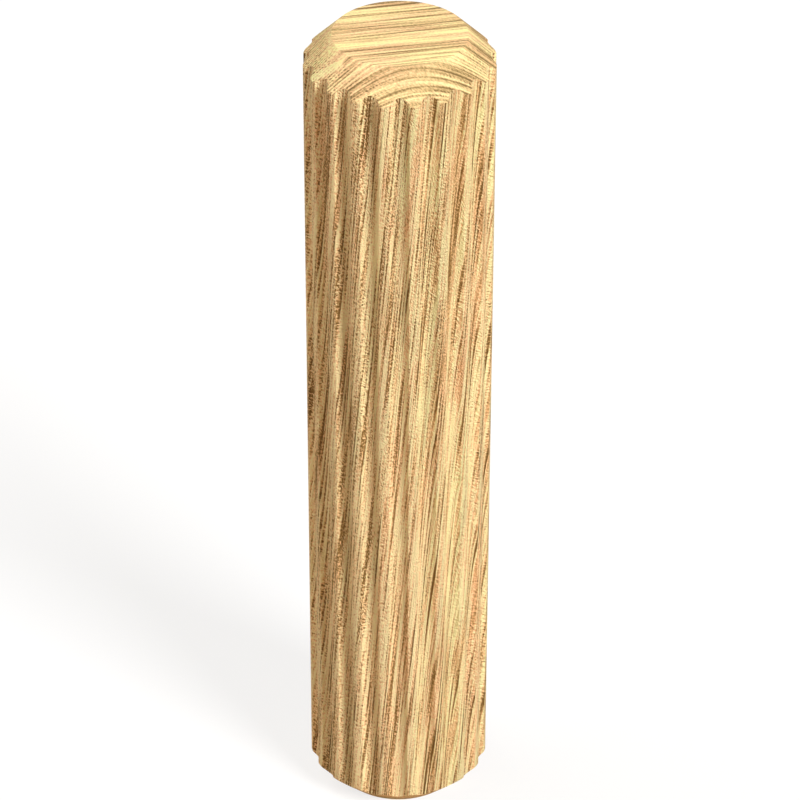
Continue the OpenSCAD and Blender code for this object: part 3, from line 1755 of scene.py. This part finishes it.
    def _mirror_lower_half(self) -> None:
        """Mirrors the upper half downwards and closes the pin."""
        half = self.piece.modifiers.new("lower half", "MIRROR")
        half.use_axis = (False, False, True)
        half.use_clip = True
        half.merge_threshold = self.weld
        bpy.ops.object.modifier_apply(modifier=half.name)
        bpy.ops.object.mode_set(mode="EDIT")
        bpy.ops.mesh.select_all(action="SELECT")
        bpy.ops.mesh.remove_doubles(threshold=self.weld)
        bpy.ops.mesh.normals_make_consistent(inside=False)
        bpy.ops.object.mode_set(mode="OBJECT")
        for tag in ("ring", "column"):
            self.piece.data.attributes.remove(self.piece.data.attributes[tag])
        bpy.ops.object.transform_apply(location=True, rotation=True, scale=True)
        bpy.ops.object.shade_smooth_by_angle(angle=math.radians(self.smooth_deg))


# --------------------------------------------------------------------------
# The studio
# --------------------------------------------------------------------------


@dataclass(frozen=True)
class SoftLamp:
    """A soft lamp far off, aimed at the pin.

    Attributes:
        name: the lamp's name.
        turn_deg: how far round to the right of the front it is.
        up_deg: how high it is.
        wide_deg: how wide it looks from the pin.
        strength: the light that it gives.
        away: how far off its marker stands.
    """

    name: str
    turn_deg: float
    up_deg: float
    wide_deg: float
    strength: float
    away: float = 0.4

    def hang(self) -> bpy.types.Object:
        """Hangs the lamp.

        Returns:
            The lamp's object.
        """
        lamp = bpy.data.lights.new(self.name, "SUN")
        lamp.energy = self.strength
        lamp.angle = math.radians(self.wide_deg)
        holder = bpy.data.objects.new(self.name, lamp)
        bpy.context.scene.collection.objects.link(holder)
        turn, rise = math.radians(self.turn_deg), math.radians(self.up_deg)
        ahead = (math.sin(turn) * math.cos(rise), -math.cos(turn) * math.cos(rise))
        aim = Vector((*ahead, math.sin(rise)))
        holder.location = aim * self.away
        holder.rotation_euler = aim.to_track_quat("Z", "Y").to_euler()
        return holder


@dataclass
class Studio:
    """A white floor, three soft lamps, and even light all round.

    Attributes:
        floor_side: side of the square floor.
        sky: strength of the even light.
        warmth: colour of the even light.
        lamps: the main lamp on the right, the weak one on the left, and the
            one that lights the top and the back from behind.
        floor_tint: how much of each colour of the light the floor gives back.
        shadow_left: how much of the pin's shadow on the floor shows.
    """

    floor_side: float = 3.0
    sky: float = 0.11
    warmth: Triple = (1.30, 1.0, 0.62)
    lamps: tuple[SoftLamp, ...] = (
        SoftLamp("key", turn_deg=44.0, up_deg=36.0, wide_deg=22.0, strength=3.70),
        SoftLamp("fill", turn_deg=-80.0, up_deg=28.0, wide_deg=50.0, strength=0.84),
        SoftLamp("back", turn_deg=-118.0, up_deg=54.0, wide_deg=40.0, strength=0.98),
    )
    floor_tint: Triple = (0.52, 0.41, 0.29)
    shadow_left: float = 0.24

    def build(self) -> bpy.types.Object:
        """Builds the sky, the lamps and the floor.

        Returns:
            The floor.
        """
        self._light_sky()
        for lamp in self.lamps:
            lamp.hang()
        return self._lay_floor()

    def _watched(self, desk: NodeDesk, unseen: Triple) -> tuple[Socket, Socket]:
        """Lays a colour that the camera sees as white.

        Args:
            desk: the desk that it is laid on.
            unseen: the colour that everything else gets.

        Returns:
            Whether a ray comes from the camera, and the colour.
        """
        seen = desk.lay("ShaderNodeLightPath").outputs["Is Camera Ray"]
        return seen, desk.blend(seen, (*unseen, 1.0), (1.0,) * 4)

    def _light_sky(self) -> None:
        """Lights the scene evenly, and shows as plain white behind it."""
        world = bpy.data.worlds.new("even_light")
        bpy.context.scene.world = world
        world.use_nodes = True
        world.node_tree.nodes.clear()
        desk = NodeDesk(world.node_tree)
        seen, tint = self._watched(desk, self.warmth)
        strength = desk.spread(seen, Span(0.0, 1.0, self.sky, 1.0))
        light = desk.lay("ShaderNodeBackground", Color=tint, Strength=strength)
        desk.lay("ShaderNodeOutputWorld", Surface=light.outputs["Background"])

    def _lay_floor(self) -> bpy.types.Object:
        """Lays the floor, which shows white but for the pin's soft shadow.

        Returns:
            The floor.
        """
        bpy.ops.object.select_all(action="DESELECT")
        bpy.ops.mesh.primitive_plane_add(size=self.floor_side, location=(0, 0, 0))
        floor = bpy.context.object
        floor.name = "floor"
        paper = bpy.data.materials.new("white_floor")
        paper.use_nodes = True
        paper.node_tree.nodes.clear()
        desk = NodeDesk(paper.node_tree)
        seen, tint = self._watched(desk, self.floor_tint)
        matt = desk.lay("ShaderNodeBsdfDiffuse", Color=tint)
        white = desk.lay("ShaderNodeEmission", Strength=1.0)
        mixed = desk.lay("ShaderNodeMixShader")
        whitened = desk.times(seen, 1.0 - self.shadow_left)
        shares = (whitened, matt.outputs["BSDF"], white.outputs["Emission"])
        for socket, value in zip(mixed.inputs, shares):
            desk.feed(socket, value)
        desk.lay("ShaderNodeOutputMaterial", Surface=mixed.outputs["Shader"])
        floor.data.materials.append(paper)
        return floor


@dataclass
class PinCamera:
    """The camera, which looks down on the pin from the front.

    Attributes:
        down_deg: how far it looks down.
        roll_deg: how far it is turned about its own line of sight.
        place: where it stands.
        lens_mm: focal length.
        sensor_mm: width of the sensor.
        near: nothing nearer than this is shown.
        far: nothing farther than this is shown.
    """

    down_deg: float = 34.05
    roll_deg: float = 0.1235
    place: Triple = (0.0000375, -0.146586, 0.11904)
    lens_mm: float = 184.2
    sensor_mm: float = 36.0
    near: float = 0.01
    far: float = 10.0

    def build(self) -> bpy.types.Object:
        """Sets up the camera and makes it the scene's.

        Returns:
            The camera.
        """
        data = bpy.data.cameras.new("camera")
        data.lens, data.sensor_width = self.lens_mm, self.sensor_mm
        data.clip_start, data.clip_end = self.near, self.far
        camera = bpy.data.objects.new("camera", data)
        bpy.context.scene.collection.objects.link(camera)
        camera.location = self.place
        camera.rotation_mode = "QUATERNION"
        tilt = Quaternion((1.0, 0.0, 0.0), math.radians(90.0 - self.down_deg))
        roll = Quaternion((0.0, 0.0, 1.0), math.radians(self.roll_deg))
        camera.rotation_quaternion = tilt @ roll
        bpy.context.scene.camera = camera
        return camera


# --------------------------------------------------------------------------


def main() -> None:
    """Builds the pin, its wood and the studio, and reports each."""
    logging.basicConfig(level=logging.INFO, format="%(name)s: %(message)s")
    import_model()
    bpy.context.scene.view_settings.view_transform = "Standard"

    pin = DowelPin()
    piece = pin.build()
    LOG.info("%s: %d faces", piece.name, len(piece.data.polygons))

    effects = WoodEffects()
    pin.dress([cut().build(effects) for cut in (LongGrain, ChamferGrain, EndGrain)])
    LOG.info("wood: %s", ", ".join(m.name for m in piece.data.materials))
    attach(piece, "root")
    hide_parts("dowel_pin")

    floor = Studio().build()
    LOG.info("studio: floor, sky and lamps")
    camera = PinCamera().build()
    LOG.info("camera: %.1f mm", camera.data.lens)


if __name__ == "__main__":
    main()
